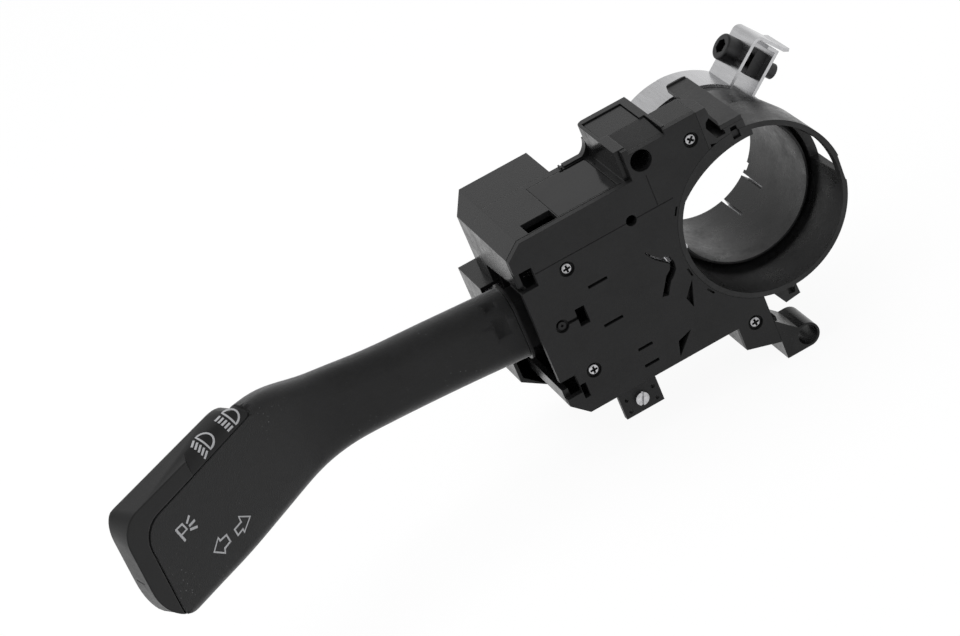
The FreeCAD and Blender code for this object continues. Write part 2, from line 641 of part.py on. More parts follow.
def cover_screw(x, z):
    head = rod_y(x, z, COVER_SCREW_R, 0.2, 1.5)
    shank = rod_y(x, z, COVER_SCREW_THREAD_R, 1.5, 12.0)
    screw = joined(head, shank)
    screw = rounded(screw, 0.8, lambda e: abs(e.CenterOfMass.y - 0.2) < 0.01)
    arms = [box(x - 1.4, x + 1.4, 0, 1.3, z - 0.4, z + 0.4),
            box(x - 0.4, x + 0.4, 0, 1.3, z - 1.4, z + 1.4)]
    cross = arms[0].fuse(arms[1])
    cross.rotate(V(x, 0, z), BACK, 18.0 * (x + z))
    return carved(screw, cross)


def cover_screws():
    return Part.makeCompound([cover_screw(x, z) for x, z in SCREW_SPOTS])


# Clamp band: one strip round the sleeve, with both ends turned out as ears
def ear_point(u, v, y):
    a = math.radians(EAR_ANGLE)
    v += EAR_SHIFT
    return V(u * math.cos(a) + v * math.sin(a), y, u * math.sin(a) - v * math.cos(a))


def ear_box(u0, u1, v0, v1, y0, y1):
    shape = Part.makeBox(u1 - u0, y1 - y0, v1 - v0, V(u0, y0, -v1 - EAR_SHIFT))
    return turned_about_collar(shape, EAR_ANGLE)


def ear_strap(foot):
    # Left ear and the strap over both ears' tops, one strip with a bend and a flicked end
    half = EAR_HALF + BAND_T
    under = EAR_REACH - BAND_T
    profile = [(foot, -half), (EAR_REACH, -half), (EAR_REACH, half + 1.4), (EAR_REACH + 0.8, half + 3.2),
               (EAR_REACH - 0.3, half + 3.6), (under, half + 1.8), (under, -EAR_HALF),
               (foot, -EAR_HALF)]
    corners = [ear_point(u, v, BAND_FRONT) for u, v in profile]
    face = Part.Face(Part.makePolygon(corners + corners[:1]))
    strap = face.extrude(V(0, BAND_BACK - BAND_FRONT, 0))
    for corner, radius in ((corners[1], EAR_BEND), (corners[6], EAR_BEND - BAND_T)):
        strap = rounded(strap, radius, lambda e: runs_along(e, BACK) and math.hypot(
            e.CenterOfMass.x - corner.x, e.CenterOfMass.z - corner.z) < 0.01)
    return strap


def clamp_band():
    inner = SLEEVE_R + 0.05
    outer = inner + BAND_T
    ring = rod_y(0, 0, outer, BAND_FRONT, BAND_BACK).cut(rod_y(0, 0, inner, 0, 80))
    half = EAR_HALF + BAND_T
    gap = ear_box(0, EAR_REACH, -EAR_HALF, EAR_HALF, BAND_FRONT - 1, BAND_BACK + 1)
    ring = ring.cut(gap)
    foot = math.sqrt(outer ** 2 - (half - EAR_SHIFT) ** 2) - 1.2
    top = EAR_REACH - STRAP_DROP
    right = ear_box(foot, top, EAR_HALF, half, BAND_FRONT, BAND_BACK)
    fold = ear_box(top - BAND_T, top, EAR_HALF - 3.6, half, BAND_FRONT, BAND_BACK)
    inside = rod_y(0, 0, inner, 0, 80)
    band = joined(ring, ear_strap(foot), right, fold).cut(inside)
    short = box(-40, 0, BAND_BACK - BAND_SHORT, BAND_BACK + 1, 12, 40)
    bore = Part.makeCylinder(SCREW_R + 0.3, 30, ear_point(SCREW_REACH, -15, ear_mid_y()),
                             ear_direction())
    band = carved(band, short, bore)
    return band


def ear_direction():
    a = math.radians(EAR_ANGLE)
    return V(math.sin(a), 0, -math.cos(a))


def ear_mid_y():
    return (BAND_FRONT + BAND_BACK) / 2


def ear_rod(r, v0, v1):
    return Part.makeCylinder(r, v1 - v0, ear_point(SCREW_REACH, v0, ear_mid_y()), ear_direction())


def clamp_screw():
    seat = -(EAR_HALF + BAND_T) - 0.02
    head = ear_rod(SCREW_HEAD_R, seat - SCREW_HEAD_H, seat)
    head = rounded(head, 0.8, lambda e: (e.CenterOfMass - ear_point(
        SCREW_REACH, seat - SCREW_HEAD_H, ear_mid_y())).Length < 0.01 and e.Length > 10)
    shank = ear_rod(SCREW_R, seat, seat + SCREW_LEN)
    flats = []
    for k in range(6):
        a = math.radians(60 * k)
        u = HEX_ACROSS / math.sqrt(3) * math.cos(a)
        w = HEX_ACROSS / math.sqrt(3) * math.sin(a)
        flats.append(ear_point(SCREW_REACH + u, seat - SCREW_HEAD_H - 0.5, ear_mid_y() + w))
    hexagon = Part.Face(Part.makePolygon(flats + flats[:1])).extrude(ear_direction() * 5.0)
    return carved(joined(head, shank), hexagon)


def clamp_nut():
    half = NUT_SIDE / 2
    mid = ear_mid_y()
    block = ear_box(SCREW_REACH - half, SCREW_REACH + half, EAR_HALF - 0.02 - NUT_T,
                    EAR_HALF - 0.02, mid - half, mid + half)
    return block.cut(ear_rod(SCREW_R + RUN_GAP, -10, 20))


# Yoke: the ring that turns with the lever about the cover's pivot, and tilts nothing itself
def lever_yoke():
    y0, y1 = TILT_Y - YOKE_HALF_Y, TILT_Y + YOKE_HALF_Y
    z0, z1 = PIVOT_Z - YOKE_HALF_Z, PIVOT_Z + YOKE_HALF_Z
    frame = box(YOKE_FRONT_X, YOKE_REAR_X, y0, y1, z0, z1)
    frame = rounded(frame, 2.0, lambda e: runs_along(e, RIGHT))
    window = box(YOKE_FRONT_X - 1, YOKE_REAR_X + 1, y0 + YOKE_WALL, y1 - YOKE_WALL,
                 z0 + YOKE_WALL + 0.5, z1 - YOKE_WALL - 0.5)
    front_stub = rod_y(PIVOT_X, PIVOT_Z, PIVOT_R, 0.4, y0 + 0.5)
    rear_stub = rod_y(PIVOT_X, PIVOT_Z, PIVOT_R, y1 - 0.5, FLOOR_Y + 1.0)
    tail = box(YOKE_REAR_X - 0.5, TAIL_X + 1.5, y1 - YOKE_WALL, y1, PIVOT_Z - 1.5, PIVOT_Z + 1.5)
    peg = rod_y(TAIL_X, PIVOT_Z, 1.5, y1 - 0.5, FLOOR_Y - 0.5)
    yoke = joined(frame.cut(window), front_stub, rear_stub, tail, peg)
    dimple = rod_y(PIVOT_X, PIVOT_Z, 0.5, 0, 1.2)
    return carved(yoke, rod_z(PIVOT_X, TILT_Y, TILT_R, z0 - 1, z1 + 1), dimple)


def tilt_pin():
    return rod_z(PIVOT_X, TILT_Y, TILT_R, PIVOT_Z - YOKE_HALF_Z, PIVOT_Z + YOKE_HALF_Z)


# Lever core: the head in the yoke, the neck through the opening and the rod inside the arm
def lever_core():
    z0 = PIVOT_Z - YOKE_HALF_Z + YOKE_WALL + 0.5 + SLIDE_GAP
    z1 = PIVOT_Z + YOKE_HALF_Z - YOKE_WALL - 0.5 - SLIDE_GAP
    head = box(PIVOT_X - HEAD_LEFT, PIVOT_X + HEAD_RIGHT, TILT_Y - HEAD_HALF_Y,
               TILT_Y + HEAD_HALF_Y, z0, z1)
    head = rounded(head, 1.5, lambda e: runs_along(e, UP))
    neck = box(ARM_START, PIVOT_X - HEAD_LEFT + 1.0, TILT_Y - NECK_HALF_Y, TILT_Y + NECK_HALF_Y,
               z0 + 0.6, z1 - 0.6)
    barrel = rod_x(TILT_Y, PIVOT_Z, 3.2, PIVOT_X + HEAD_RIGHT - 1.0, BARREL_END)
    finger = rod_x(TILT_Y, PIVOT_Z + FINGER_Z, 1.3, PIVOT_X + HEAD_RIGHT - 1.0, TAIL_X + 1.6)
    spine = box(CORE_END, ARM_START + 0.5, TILT_Y - 3.0, TILT_Y + 3.0, PIVOT_Z - 5.0, PIVOT_Z + 5.0)
    core = joined(head, neck, barrel, finger, spine)
    bores = [rod_x(TILT_Y, PIVOT_Z, PLUNGER_R + RUN_GAP, SPRING_SEAT_X, -60.0),
             rod_z(PIVOT_X, TILT_Y, TILT_R + RUN_GAP, -40, 40)]
    return carved(core, *bores)


def lever_shield():
    x1 = ARM_START + 1.3
    plate = box(ARM_START + 0.1, x1, TILT_Y - 9.4, TILT_Y + 9.4, PIVOT_Z - 14.2, PIVOT_Z + 14.0)
    plate = rounded(plate, 7.0, lambda e: runs_along(e, RIGHT))
    slot = box(ARM_START - 1, x1 + 1, TILT_Y - NECK_HALF_Y - RUN_GAP, TILT_Y + NECK_HALF_Y + RUN_GAP,
               PIVOT_Z - 10.4, PIVOT_Z + 10.4)
    return plate.cut(slot)


# Detent: a sprung plunger in the core's barrel runs over a grooved track
def detent_plunger():
    body = rod_x(TILT_Y, PIVOT_Z, PLUNGER_R, PLUNGER_END, PLUNGER_TIP - PLUNGER_R)
    ball = Part.makeSphere(PLUNGER_R, V(PLUNGER_TIP - PLUNGER_R, TILT_Y, PIVOT_Z))
    return joined(body, ball)


def detent_spring():
    turns, wire, mean_r = 4, 0.25, 1.5
    start, end = SPRING_SEAT_X + wire + 0.02, PLUNGER_END - wire - 0.02
    helix = Part.makeHelix((end - start) / turns, end - start, mean_r)
    rim = [V(mean_r + wire * math.cos(math.radians(60 * k)), 0, wire * math.sin(math.radians(60 * k)))
           for k in range(6)]
    wire_section = Part.makePolygon(rim + rim[:1])
    coil = Part.Wire(helix).makePipeShell([wire_section], True, True)
    coil.rotate(V(0, 0, 0), BACK, 90)
    coil.translate(V(start, TILT_Y, PIVOT_Z))
    return coil


def detent_track():
    face_r = PLUNGER_TIP - PIVOT_X + 0.45
    block = box(PLUNGER_TIP, PLUNGER_TIP + 5.4, TILT_Y - 8.0, FLOOR_Y, PIVOT_Z - 8.0, PIVOT_Z + 8.0)
    bowl = rod_y(PIVOT_X, PIVOT_Z, face_r, 0, 50)
    block = block.cut(bowl)
    for a in (-10.0, 0.0, 10.0):
        groove = rod_y(PIVOT_X + (face_r - 1.6) * math.cos(math.radians(a)),
                       PIVOT_Z + (face_r - 1.6) * math.sin(math.radians(a)), 2.1, 0, 50)
        block = block.cut(groove)
    return block.removeSplitter()


# Sliders that carry the moving contacts, and the plate of fixed contacts
def indicator_slider():
    y0 = TILT_Y + YOKE_HALF_Y + 0.3
    body = box(-71.0, -63.0, y0, FLOOR_Y - SLIDE_GAP, PIVOT_Z - 8.0, PIVOT_Z + 8.0)
    body = rounded(body, 1.0, lambda e: runs_along(e, BACK))
    slot = box(TAIL_X - 2.4, TAIL_X + 2.2, 20, 40, PIVOT_Z - 1.7, PIVOT_Z + 1.7)
    return carved(body, slot)


def dip_slider():
    body = box(-70.6, -66.4, TILT_Y - 6.0, TILT_Y + 6.0, PIVOT_Z + 5.2, 14.9)
    slot = box(-71, -66, TILT_Y - 1.8, TILT_Y + 1.8, 0, 11.0)
    return carved(body, slot)


def contact_plate():
    plate = box(PLATE_X[0], PLATE_X[1], FLOOR_Y, FLOOR_Y + PLATE_T, PLATE_Z[0], PLATE_Z[1])
    pads = [box(PLATE_X[1] - 9.0, PLATE_X[1] - 3.0, FLOOR_Y - 0.2, FLOOR_Y + 0.2, z - 1.0, z + 1.0)
            for z in (-14.0, -10.0, -6.0, 2.5, 6.5)]
    return joined(plate, *pads)


# Cancelling pawl with its pin and leaf spring
def cancel_pawl():
    hub = rod_y(PAWL_X, PAWL_Z, PAWL_HUB_R, PAWL_FRONT, PAWL_BACK)
    arm = prism_y([(PAWL_X, PAWL_Z - 3.2), (PAWL_TIP_X - 1.0, PAWL_Z - 1.3),
                   (PAWL_TIP_X - 1.0, PAWL_Z + 1.3), (PAWL_X, PAWL_Z + 3.2)], PAWL_FRONT, PAWL_BACK)
    nose = rod_y(PAWL_TIP_X - 1.4, PAWL_Z, 1.4, PAWL_FRONT, PAWL_BACK)
    return carved(joined(hub, arm, nose), rod_y(PAWL_X, PAWL_Z, PAWL_PIN_R + RUN_GAP, 0, 30))


def cancel_pin():
    return rod_y(PAWL_X, PAWL_Z, PAWL_PIN_R, COVER_T + 0.3, 23.8)


def cancel_spring():
    path = from_ring_edge([(-10.4, 7.4), (-6.6, 3.0), (-4.4, 1.6), (-3.8, -0.4), (-4.2, -2.6),
                           (-6.8, -5.6), (-9.6, -10.2)])
    back = [(x - 0.5, z + (0.1 if z > 0 else -0.1)) for x, z in reversed(path)]
    strip = prism_y(path + back, COVER_T + 0.3, PAWL_FRONT - 0.4)
    return strip.cut(rod_y(PAWL_X, PAWL_Z, PAWL_PIN_R + 0.3, 0, 20))


# Stalk sections: a rounded rectangle across the axis at each station
def section(x, y, heading, top, low, thick, front_top_r, other_r):
    a = math.radians(heading)
    side = V(-math.sin(a), math.cos(a), 0)
    half = thick / 2

    def at(t, z):
        return V(x + side.x * t, y + side.y * t, z)

    def corner(p, q, r, mid):
        return Part.Arc(p, mid, q).toShape()

    k = 1 - math.sqrt(0.5)
    f, r = front_top_r, other_r
    p = [at(-half, low + r), at(-half, top - f), at(-half + f, top), at(half - r, top),
         at(half, top - r), at(half, low + r), at(half - r, low), at(-half + r, low)]
    edges = [Part.makeLine(p[0], p[1]),
             corner(p[1], p[2], f, at(-half + f * k, top - f * k)),
             Part.makeLine(p[2], p[3]),
             corner(p[3], p[4], r, at(half - r * k, top - r * k)),
             Part.makeLine(p[4], p[5]),
             corner(p[5], p[6], r, at(half - r * k, low + r * k)),
             Part.makeLine(p[6], p[7]),
             corner(p[7], p[0], r, at(-half + r * k, low + r * k))]
    return Part.Wire(edges)


def paddle_point(s, t=0.0, z=0.0):
    a = math.radians(PADDLE_BEND)
    return V(ELBOW_X - s * math.cos(a) - t * math.sin(a),
             TILT_Y - s * math.sin(a) + t * math.cos(a), z)


def stalk_path(q):
    # Centre and heading at distance q from the arm's root: a straight, an arc and a straight
    bend = math.radians(PADDLE_BEND)
    tangent = ELBOW_R * math.tan(bend / 2)
    arm = ARM_START - ELBOW_X - tangent
    if q <= arm:
        return ARM_START - q, TILT_Y, 0.0
    turn = (q - arm) / ELBOW_R
    if turn <= bend:
        x = ARM_START - arm - ELBOW_R * math.sin(turn)
        return x, TILT_Y - ELBOW_R * (1 - math.cos(turn)), math.degrees(turn)
    p = paddle_point(tangent + q - arm - ELBOW_R * bend)
    return p.x, p.y, PADDLE_BEND


def stalk_size(q):
    # Smooth curve through the stations: top, low, thickness and the two corner radii
    last = len(STATIONS) - 1
    k = max(i for i in range(last) if STATIONS[i][0] <= q)
    before, start = STATIONS[max(k - 1, 0)], STATIONS[k]
    end, after = STATIONS[k + 1], STATIONS[min(k + 2, last)]
    span = end[0] - start[0]
    t = (q - start[0]) / span
    sizes = []
    for i in range(1, len(start)):
        slope_0 = (end[i] - before[i]) / (end[0] - before[0]) * span
        slope_1 = (after[i] - start[i]) / (after[0] - start[0]) * span
        sizes.append((2 * t ** 3 - 3 * t ** 2 + 1) * start[i] + (t ** 3 - 2 * t ** 2 + t) * slope_0
                     + (3 * t ** 2 - 2 * t ** 3) * end[i] + (t ** 3 - t ** 2) * slope_1)
    return sizes


def stalk_blank():
    bend = math.radians(PADDLE_BEND)
    arm = ARM_START - ELBOW_X - ELBOW_R * math.tan(bend / 2)
    length = arm + ELBOW_R * bend + PADDLE_LEN - ELBOW_R * math.tan(bend / 2)
    wires = []
    for k in range(STALK_STEPS + 1):
        q = length * k / STALK_STEPS
        x, y, heading = stalk_path(q)
        wires.append(section(x, y, heading, *stalk_size(q)))
    return Part.makeLoft(wires, True, False).common(paddle_limits())


def arc_points(cs, cz, r, a0, a1, count):
    steps = [math.radians(a0 + (a1 - a0) * k / count) for k in range(count + 1)]
    return [(cs + r * math.cos(a), cz + r * math.sin(a)) for a in steps]


def face_prism(outline, half=12.0):
    corners = [paddle_point(s, -half, z) for s, z in outline]
    face = Part.Face(Part.makePolygon(corners + corners[:1]))
    return face.extrude(paddle_point(0, half) - paddle_point(0, -half))


def paddle_limits():
    end_top_r, end_low_r = 9.0, 12.0
    outline = [(-90.0, -40.0), (PADDLE_LEN - end_low_r, PADDLE_LOW)]
    outline[1] = (PADDLE_LEN - end_low_r - 30.0, PADDLE_LOW - 0.5)
    outline += arc_points(PADDLE_LEN - end_low_r, PADDLE_LOW + end_low_r, end_low_r, -90, 0, 8)
    outline += arc_points(PADDLE_LEN - end_top_r, PADDLE_TOP - end_top_r, end_top_r, 0, 90, 8)
    outline += [(PADDLE_LEN - end_top_r - 30.0, PADDLE_TOP + 0.5), (-90.0, 40.0)]
    return face_prism(outline, 60.0)


def cap_seam(offset):
    # Seam between grip and end cap in the paddle's plane, moved inwards by offset
    turn_r = 8.0
    start_r = 3.2
    edge = PADDLE_TOP - CAP_BORDER - offset
    end = PADDLE_LEN - CAP_BORDER - offset
    start = CAP_START - offset
    line = [(start + 3.0, PADDLE_TOP + 9)]
    line += arc_points(start + start_r, edge + start_r + 1.4, start_r, 180, 245, 4)
    line += arc_points(end - turn_r, edge - turn_r, turn_r, 90, 0, 6)
    line += [(end, 0.0)]
    line += arc_points(end - 14.0, -7.0, 14.0, 0, -60, 4)
    line += [(end - 10.0, PADDLE_LOW - 9)]
    return line


def end_cap_prism(offset):
    outside = [(PADDLE_LEN + 9, PADDLE_LOW - 9), (PADDLE_LEN + 9, PADDLE_TOP + 9)]
    return face_prism(cap_seam(offset) + outside)


def lever_grip():
    blank = stalk_blank()
    bore = box(CORE_END - 0.5, ARM_START + 1, TILT_Y - 3.0 - RUN_GAP, TILT_Y + 3.0 + RUN_GAP,
               PIVOT_Z - 5.0 - RUN_GAP, PIVOT_Z + 5.0 + RUN_GAP)
    front = TILT_Y - ARM_THICK / 2
    pocket = box(ARM_START - 8.7, ARM_START - 4.4, front - 1, front + 4.6, 9.7, 20)
    dent = box(ARM_START - 8.2, ARM_START - 3.2, front - 1, front + 0.3, -0.5, 9.5)
    return blank.cut([end_cap_prism(CAP_GAP), bore, pocket, dent])


def facet_wedge():
    # What the sloped face takes off the paddle's upper front edge
    half, top = PADDLE_THICK / 2, PADDLE_TOP + 4.0
    lean = math.tan(math.radians(FACET_TILT))
    corners = [paddle_point(CAP_START - 8.0, -half - 2.0, FACET_Z - 2.0 / lean),
               paddle_point(CAP_START - 8.0, -half + (top - FACET_Z) * lean, top),
               paddle_point(CAP_START - 8.0, -half - 2.0, top)]
    face = Part.Face(Part.makePolygon(corners + corners[:1]))
    return face.extrude(paddle_point(FACET_END) - paddle_point(CAP_START - 8.0))


def lever_end_cap():
    return stalk_blank().common(end_cap_prism(0.0)).cut(facet_wedge())


# Every piece, by the name of its node
PIECES = {
    "front_cover": front_cover,
    "housing_base": housing_base,
    "rear_housing": rear_housing,
    "label_panel": label_panel,
    "block_lid": block_lid,
    "connector_blades": connector_blades,
    "side_chamber": side_chamber,
    "side_contacts": side_contacts,
    "column_collar": column_collar,
    "clip_bracket": clip_bracket,
    "spring_clip": spring_clip,
    "latch_loop": latch_loop,
    "mounting_tab": mounting_tab,
    "tab_screw": tab_screw,
    "cover_screws": cover_screws,
    "clamp_band": clamp_band,
    "clamp_nut": clamp_nut,
    "clamp_screw": clamp_screw,
    "lever_yoke": lever_yoke,
    "tilt_pin": tilt_pin,
    "lever_core": lever_core,
    "lever_shield": lever_shield,
    "lever_grip": lever_grip,
    "lever_end_cap": lever_end_cap,
    "detent_plunger": detent_plunger,
    "detent_spring": detent_spring,
    "detent_track": detent_track,
    "indicator_slider": indicator_slider,
    "dip_slider": dip_slider,
    "contact_plate": contact_plate,
    "cancel_pawl": cancel_pawl,
    "cancel_pin": cancel_pin,
    "cancel_spring": cancel_spring,
}

os.makedirs("parts", exist_ok=True)
for node, make in PIECES.items():
    shape = make()
    shape.translate(V(0, -SLEEVE_BACK, 0))
    shape.exportStep("parts/" + node + ".step")
    solids = len(shape.Solids)
    print(node, "solids", solids, "valid", shape.isValid(), "volume", round(shape.Volume, 1))
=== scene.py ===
import bpy
import json
import math
from mathutils import Matrix, Vector


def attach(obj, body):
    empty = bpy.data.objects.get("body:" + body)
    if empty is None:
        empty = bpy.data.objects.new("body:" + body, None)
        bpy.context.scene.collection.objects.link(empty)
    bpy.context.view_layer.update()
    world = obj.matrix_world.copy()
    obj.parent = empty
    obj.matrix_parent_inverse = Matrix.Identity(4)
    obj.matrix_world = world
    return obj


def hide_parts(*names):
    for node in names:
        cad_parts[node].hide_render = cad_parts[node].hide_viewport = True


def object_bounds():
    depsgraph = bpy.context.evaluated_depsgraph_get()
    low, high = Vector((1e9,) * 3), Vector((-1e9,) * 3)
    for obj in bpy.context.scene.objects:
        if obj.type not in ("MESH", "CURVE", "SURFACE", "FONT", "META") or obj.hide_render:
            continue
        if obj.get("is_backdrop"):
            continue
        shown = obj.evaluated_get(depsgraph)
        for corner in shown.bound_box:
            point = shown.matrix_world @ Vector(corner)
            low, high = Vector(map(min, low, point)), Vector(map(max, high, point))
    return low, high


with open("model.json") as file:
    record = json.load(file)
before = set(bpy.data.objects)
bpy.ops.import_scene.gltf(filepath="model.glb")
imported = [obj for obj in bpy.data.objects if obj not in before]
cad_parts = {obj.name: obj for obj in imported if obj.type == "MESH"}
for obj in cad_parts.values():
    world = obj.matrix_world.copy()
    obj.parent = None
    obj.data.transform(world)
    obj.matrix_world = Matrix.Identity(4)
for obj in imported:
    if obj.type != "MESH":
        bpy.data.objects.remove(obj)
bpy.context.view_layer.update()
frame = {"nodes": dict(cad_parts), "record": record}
bpy.ops.object.select_all(action="DESELECT")
bpy.context.scene.view_settings.view_transform = "Standard"

MM = 0.001
SLEEVE_BACK = 66.5          # mm from the cover's face to the sleeve's back end, where y is 0


def row(x, y, z):
    """Millimetres from the collar's axis and the cover's face, to metres in the frame."""
    return Vector((x * MM, (y - SLEEVE_BACK) * MM, z * MM))


# Camera at the photograph's angle
CAMERA_PLACE = (-0.28299, -0.99891, 0.52782)
CAMERA_FORWARD = (0.1640, 0.8660, -0.4745)
CAMERA_RIGHT = (0.8623, -0.3590, -0.3568)
CAMERA_SENSOR = 36.0
CAMERA_LENS = 120.0
CAMERA_CLIP = (0.05, 20.0)


def place_camera():
    data = bpy.data.cameras.new("camera")
    data.sensor_width = CAMERA_SENSOR
    data.lens = CAMERA_LENS
    data.clip_start, data.clip_end = CAMERA_CLIP
    camera = bpy.data.objects.new("camera", data)
    bpy.context.scene.collection.objects.link(camera)
    forward = Vector(CAMERA_FORWARD).normalized()
    right = Vector(CAMERA_RIGHT)
    right = (right - forward * right.dot(forward)).normalized()
    up = right.cross(forward)
    turn = Matrix((right, up, -forward)).transposed().to_4x4()
    camera.matrix_world = Matrix.Translation(CAMERA_PLACE) @ turn
    bpy.context.scene.camera = camera


# Small helpers for shader trees
def feed(tree, socket, value):
    """Links an output to the socket, or sets the socket's own constant."""
    if isinstance(value, bpy.types.NodeSocket):
        tree.links.new(value, socket)
    else:
        socket.default_value = value


def calc(tree, operation, *values):
    node = tree.nodes.new("ShaderNodeMath")
    node.operation = operation
    for socket, value in zip(node.inputs, values):
        feed(tree, socket, value)
    return node.outputs[0]


def spread(tree, value, low, high, to_low, to_high):
    """Maps low..high onto to_low..to_high, and holds it there."""
    node = tree.nodes.new("ShaderNodeMapRange")
    for label, number in (("Value", value), ("From Min", low), ("From Max", high),
                          ("To Min", to_low), ("To Max", to_high)):
        feed(tree, node.inputs[label], number)
    return node.outputs["Result"]


def noise(tree, vector, scale, detail, rough):
    node = tree.nodes.new("ShaderNodeTexNoise")
    for label, value in (("Vector", vector), ("Scale", scale), ("Detail", detail),
                         ("Roughness", rough)):
        feed(tree, node.inputs[label], value)
    return node.outputs["Fac"]


def mix_colours(tree, share, first, second):
    node = tree.nodes.new("ShaderNodeMix")
    node.data_type = "RGBA"
    for label, value in (("Factor", share), ("A", first), ("B", second)):
        feed(tree, node.inputs[label], value)
    return node.outputs["Result"]


def bumped(tree, height, strength, distance):
    node = tree.nodes.new("ShaderNodeBump")
    for label, value in (("Height", height), ("Strength", strength), ("Distance", distance)):
        feed(tree, node.inputs[label], value)
    return node.outputs["Normal"]


# Light, world and floor
WHITE = (1.0, 1.0, 1.0, 1.0)
WORLD_COLOUR = (0.97, 0.98, 1.0, 1.0)
WORLD_LIGHT = 0.60          # strength of the world where it only lights
SKY_FALLS = (0.25, 0.95)    # heights between which the white falls off
ZENITH_WHITE = 0.42
FLOOR_COLOUR = (0.86, 0.86, 0.86, 1.0)
FLOOR_WHITE = 0.93          # the rest of it stays matte and shows the shadow
FLOOR_SIZE = 6.0
FLOOR_GAP = 0.0005
LIT_MIDDLE = (-0.08, -0.03, 0.0)
SOFT_LIGHTS = (             # name, place, size, power
    ("top_softbox", (-0.10, 0.25, 0.95), (1.1, 0.8), 7.0),
    ("left_softbox", (-1.0, -0.35, 0.45), (0.7, 0.9), 4.0),
    ("front_fill", (0.35, -1.1, 0.35), (0.9, 0.9), 3.0),
)


def soft_light(name, place, size, power):
    data = bpy.data.lights.new(name, "AREA")
    data.shape = "RECTANGLE"
    data.size, data.size_y = size
    data.energy = power
    lamp = bpy.data.objects.new(name, data)
    lamp.location = place
    lamp.visible_glossy = False
    ray = Vector(LIT_MIDDLE) - lamp.location
    lamp.rotation_euler = ray.to_track_quat("-Z", "Y").to_euler()
    bpy.context.scene.collection.objects.link(lamp)


def white_for_rays(tree, plain, white, most):
    """Mixes plain with white for camera, mirror and glass rays."""
    path = tree.nodes.new("ShaderNodeLightPath").outputs
    seen = calc(tree, "MAXIMUM", path["Is Camera Ray"], path["Is Transmission Ray"])
    share = calc(tree, "MULTIPLY", calc(tree, "ADD", path["Is Glossy Ray"], seen), most)
    share.node.use_clamp = True
    mix = tree.nodes.new("ShaderNodeMixShader")
    for socket, value in zip(mix.inputs, (share, plain, white)):
        tree.links.new(value, socket)
    return mix.outputs[0]


def sky_strength(tree):
    """White round the horizon and below it, falling off towards the zenith."""
    parts = tree.nodes.new("ShaderNodeSeparateXYZ")
    direction = tree.nodes.new("ShaderNodeTexCoord").outputs["Generated"]
    tree.links.new(direction, parts.inputs[0])
    return spread(tree, parts.outputs["Z"], *SKY_FALLS, 1.0, ZENITH_WHITE)


def light_the_scene():
    world = bpy.data.worlds.new("studio")
    world.use_nodes = True
    bpy.context.scene.world = world
    tree = world.node_tree
    plain = tree.nodes["Background"]
    plain.inputs["Color"].default_value = WORLD_COLOUR
    plain.inputs["Strength"].default_value = WORLD_LIGHT
    white = tree.nodes.new("ShaderNodeBackground")
    white.inputs["Color"].default_value = WHITE
    tree.links.new(sky_strength(tree), white.inputs["Strength"])
    surface = white_for_rays(tree, plain.outputs[0], white.outputs[0], 1.0)
    tree.links.new(surface, tree.nodes["World Output"].inputs["Surface"])
    for light in SOFT_LIGHTS:
        soft_light(*light)


def pale_floor():
    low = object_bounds()[0][2] - FLOOR_GAP
    bpy.ops.mesh.primitive_plane_add(size=FLOOR_SIZE, location=(0, 0, low))
    floor = bpy.context.object
    floor.name = "floor"
    material = bpy.data.materials.new("pale_floor")
    material.use_nodes = True
    tree = material.node_tree
    matte = tree.nodes["Principled BSDF"]
    matte.inputs["Base Color"].default_value = FLOOR_COLOUR
    matte.inputs["Roughness"].default_value = 0.9
    matte.inputs["Specular IOR Level"].default_value = 0.1
    glow = tree.nodes.new("ShaderNodeEmission")
    glow.inputs["Color"].default_value = WHITE
    glow.inputs["Strength"].default_value = 1.0
    surface = white_for_rays(tree, matte.outputs[0], glow.outputs[0], FLOOR_WHITE)
    tree.links.new(surface, tree.nodes["Material Output"].inputs["Surface"])
    floor.data.materials.append(material)
    floor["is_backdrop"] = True


# Shader groups shared by several finishes. Scales are per metre, distances in metres.
GRAIN_DISTANCE = 0.00014
ROLLING_DISTANCE = 0.00003
DUST_GREY = 0.10
DUST_SPACING = 620.0
SHEEN_ROUGHNESS = 0.42
STEEL_EDGE = 0.0002
BEVEL_SAMPLES = 6


def new_group(name, inputs, outputs):
    group = bpy.data.node_groups.new(name, "ShaderNodeTree")
    for label, kind in inputs:
        group.interface.new_socket(label, in_out="INPUT", socket_type="NodeSocket" + kind)
    for label, kind in outputs:
        group.interface.new_socket(label, in_out="OUTPUT", socket_type="NodeSocket" + kind)
    start = group.nodes.new("NodeGroupInput")
    end = group.nodes.new("NodeGroupOutput")
    return group, start.outputs, end.inputs


def make_moulded_skin():
    """Moulded plastic: fine grain, slow cloudy change and a few dull rubs."""
    group, given, made = new_group(
        "moulded_skin",
        [("Vector", "Vector"), ("Dark", "Color"), ("Light", "Color"), ("Rough Low", "Float"),
         ("Rough High", "Float"), ("Grain Scale", "Float"), ("Grain Depth", "Float")],
        [("Color", "Color"), ("Roughness", "Float"), ("Normal", "Vector")])
    cloud = noise(group, given["Vector"], 85.0, 4.0, 0.6)
    fine = noise(group, given["Vector"], 700.0, 3.0, 0.5)
    blend = calc(group, "MULTIPLY_ADD", fine, 0.35, calc(group, "MULTIPLY", cloud, 0.65))
    share = spread(group, blend, 0.35, 0.65, 0.0, 1.0)
    feed(group, made["Color"], mix_colours(group, share, given["Dark"], given["Light"]))
    feed(group, made["Roughness"],
         spread(group, blend, 0.35, 0.65, given["Rough Low"], given["Rough High"]))
    grain = noise(group, given["Vector"], given["Grain Scale"], 2.0, 0.6)
    feed(group, made["Normal"], bumped(group, grain, given["Grain Depth"], GRAIN_DISTANCE))
    return group


